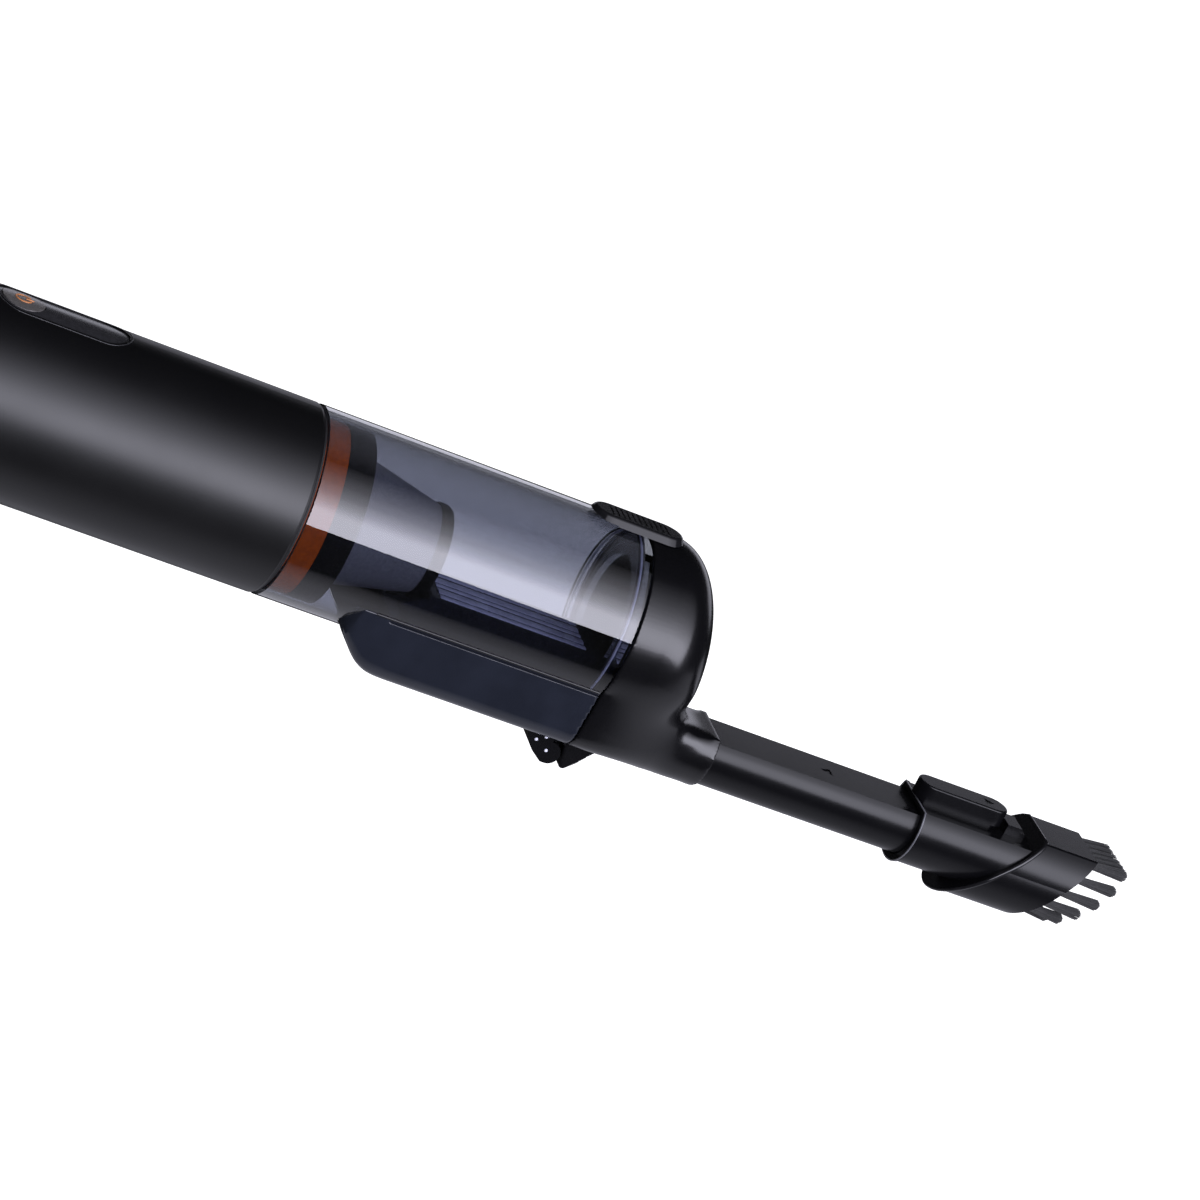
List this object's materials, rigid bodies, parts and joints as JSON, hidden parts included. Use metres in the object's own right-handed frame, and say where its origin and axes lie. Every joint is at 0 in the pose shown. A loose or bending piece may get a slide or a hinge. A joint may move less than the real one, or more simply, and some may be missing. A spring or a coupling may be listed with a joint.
{
  "type": "handheld vacuum",
  "caption": "Cordless stick-shaped handheld vacuum with clear dust cup, hinged head, crevice tube and sliding brush.",
  "frame": {"origin": "centre of the flat rear face of the housing", "axes": "+X along the body to the nozzle, +Z out through the power button, +Y to the left when looking forwards"},
  "size_m": [0.4557, 0.06, 0.0816],
  "materials": {
    "black_plastic": "fine matt moulded black",
    "satin_black": "smooth satin black",
    "gloss_black": "polished dark grey-black",
    "button_grey": "satin silver grey",
    "orange_ring": "orange moulded plastic",
    "clear_smoke": "clear, faintly smoky plastic",
    "duct_smoke": "dark smoky plastic",
    "floor_smoke": "dark glossy plastic",
    "filter_mesh": "light grey mesh",
    "filter_paper": "white pleated filter paper",
    "filter_black": "satin black",
    "bristle": "dark grey nylon bristle",
    "rubber_black": "black rubber",
    "foam_grey": "open grey foam",
    "steel": "plain steel",
    "battery_wrap": "shrink wrapped cells",
    "copper": "wound copper and steel core",
    "nickel": "nickel strip",
    "board_green": "green circuit board",
    "lamp_white": "white lamp bodies",
    "fan_plastic": "grey moulded plastic"
  },
  "bodies": {
    "body": {"main_housing": "black_plastic", "rear_cap": "black_plastic", "exhaust_foam": "foam_grey", "charge_port": "steel", "charge_board": "board_green", "battery_cells": "battery_wrap", "cell_holders": "fan_plastic", "cell_strips": "nickel", "control_board": "board_green", "board_posts": "fan_plastic", "tact_switch": "steel", "status_lamps": "lamp_white", "control_panel": "gloss_black", "button_spring": "steel", "motor_can": "steel", "motor_stator": "copper", "motor_bearings": "steel", "fan_shroud": "fan_plastic", "motor_mount": "rubber_black", "driver_board": "board_green", "motor_brace": "fan_plastic", "front_bulkhead": "black_plastic", "lock_ring": "orange_ring", "cup_seal": "rubber_black", "housing_screws": "steel"},
    "power_button": {"power_button": "button_grey"},
    "rotor": {"motor_rotor": "steel", "fan_wheel": "fan_plastic"},
    "filter": {"filter_frame": "filter_black", "filter_cone": "filter_mesh", "filter_pleats": "filter_paper", "filter_end_ring": "filter_black"},
    "dust_cup": {"cup_shell": "clear_smoke", "duct_shell": "duct_smoke", "cup_floor": "floor_smoke", "hinge_bracket": "satin_black", "hinge_pin": "steel", "hinge_screws": "nickel", "latch_base": "satin_black", "latch_pin": "steel", "latch_spring": "steel"},
    "latch": {"latch_button": "gloss_black"},
    "head": {"head_shell": "satin_black", "head_seal": "rubber_black", "flap_pin": "steel"},
    "inlet_flap": {"inlet_flap": "rubber_black"},
    "nozzle": {"crevice_tube": "satin_black", "tube_seal": "rubber_black"},
    "brush": {"brush_sleeve": "satin_black", "brush_rail": "satin_black", "brush_tip": "satin_black", "bristle_tufts": "bristle", "release_spring": "steel"},
    "brush_release": {"release_button": "satin_black"}
  },
  "joints": [
    {"name": "power_button_press", "type": "slide", "parent": "body", "child": "power_button", "axis": [0, 0, -1], "range_m": [0, 0.0007], "stiffness_N_per_m": 1500, "deforming": ["button_spring"]},
    {"name": "rotor_spin", "type": "hinge", "parent": "body", "child": "rotor", "pos_m": [0.1125, 0, 0], "axis": [1, 0, 0], "continuous": true},
    {"name": "filter_twist", "type": "hinge", "parent": "body", "child": "filter", "pos_m": [0.162, 0, 0], "axis": [1, 0, 0], "range_deg": [0, 30]},
    {"name": "cup_pull", "type": "slide", "parent": "body", "child": "dust_cup", "axis": [1, 0, 0], "range_m": [0, 0.035]},
    {"name": "latch_rock", "type": "hinge", "parent": "dust_cup", "child": "latch", "pos_m": [0.246, 0, 0.0301], "axis": [0, 1, 0], "range_deg": [-2, 0], "stiffness_Nm_per_rad": 1.5, "deforming": ["latch_spring"]},
    {"name": "head_open", "type": "hinge", "parent": "dust_cup", "child": "head", "pos_m": [0.2578, 0, -0.0456], "axis": [0, 1, 0], "range_deg": [0, 90]},
    {"name": "flap_swing", "type": "hinge", "parent": "head", "child": "inlet_flap", "pos_m": [0.2621, 0, -0.0194], "axis": [0, 1, 0], "range_deg": [0, 60], "stiffness_Nm_per_rad": 0.002},
    {"name": "nozzle_pull", "type": "slide", "parent": "head", "child": "nozzle", "axis": [1, 0, 0], "range_m": [0, 0.02]},
    {"name": "brush_slide", "type": "slide", "parent": "nozzle", "child": "brush", "axis": [1, 0, 0], "range_m": [-0.055, 0]},
    {"name": "brush_release_press", "type": "slide", "parent": "brush", "child": "brush_release", "axis": [0, 0, -1], "range_m": [0, 0.0008], "stiffness_N_per_m": 1500, "deforming": ["release_spring"]}
  ]
}
